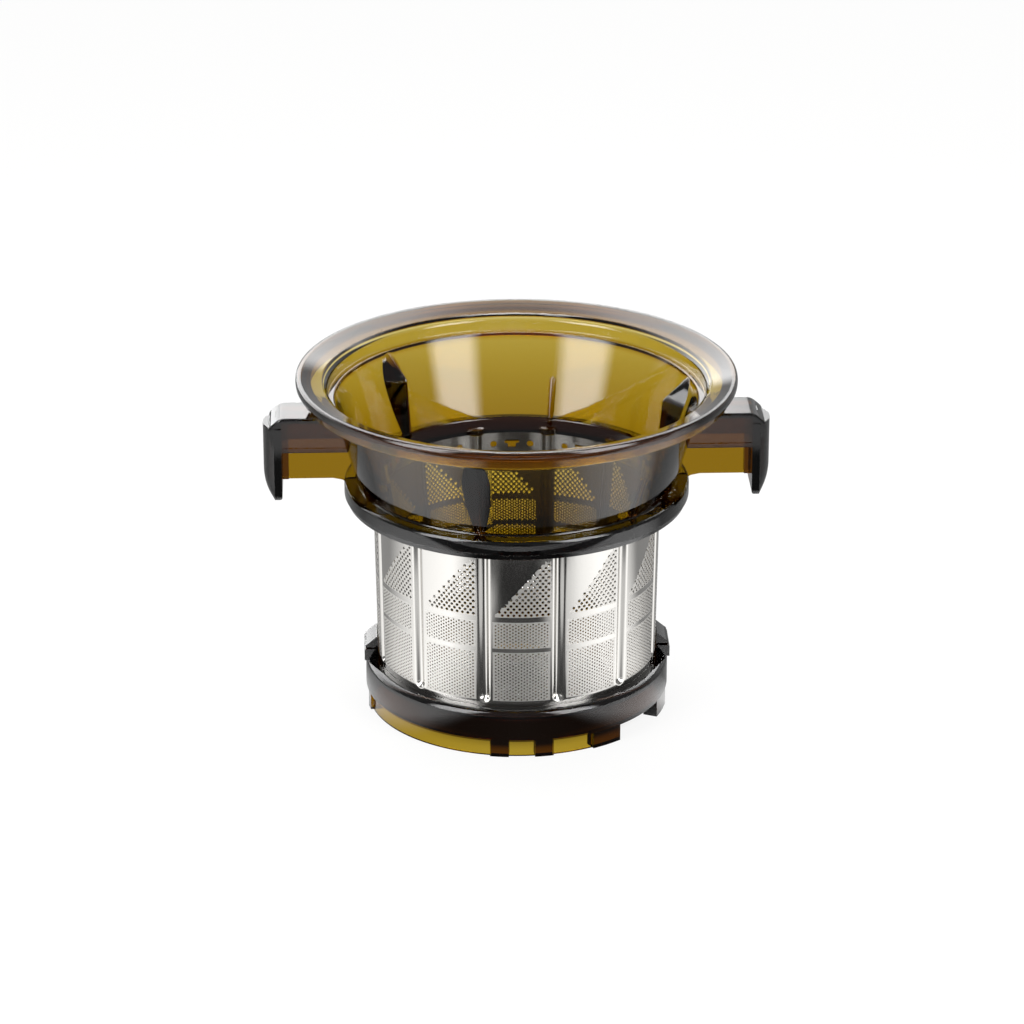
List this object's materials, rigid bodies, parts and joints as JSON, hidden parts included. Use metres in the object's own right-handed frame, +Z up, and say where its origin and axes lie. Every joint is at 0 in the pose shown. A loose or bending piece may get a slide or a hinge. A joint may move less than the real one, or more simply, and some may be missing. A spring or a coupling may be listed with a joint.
{
  "type": "juicer mesh screen",
  "caption": "Slow-juicer strainer: a see-through plastic funnel with hooked handles over a perforated steel sleeve in a plastic base ring.",
  "frame": {"origin": "centre of the base's bottom edge, on the strainer's axis", "axes": "+Z up along the strainer's axis towards the funnel's mouth; the two handles lie on X"},
  "size_m": [0.1596, 0.1386, 0.1104],
  "materials": {
    "amber_plastic": "see-through amber-brown plastic, moulded glossy",
    "screen_steel": "bright perforated stainless sheet"
  },
  "bodies": {
    "root": {"hopper": "amber_plastic", "screen": "screen_steel", "base": "amber_plastic"}
  },
  "joints": []
}
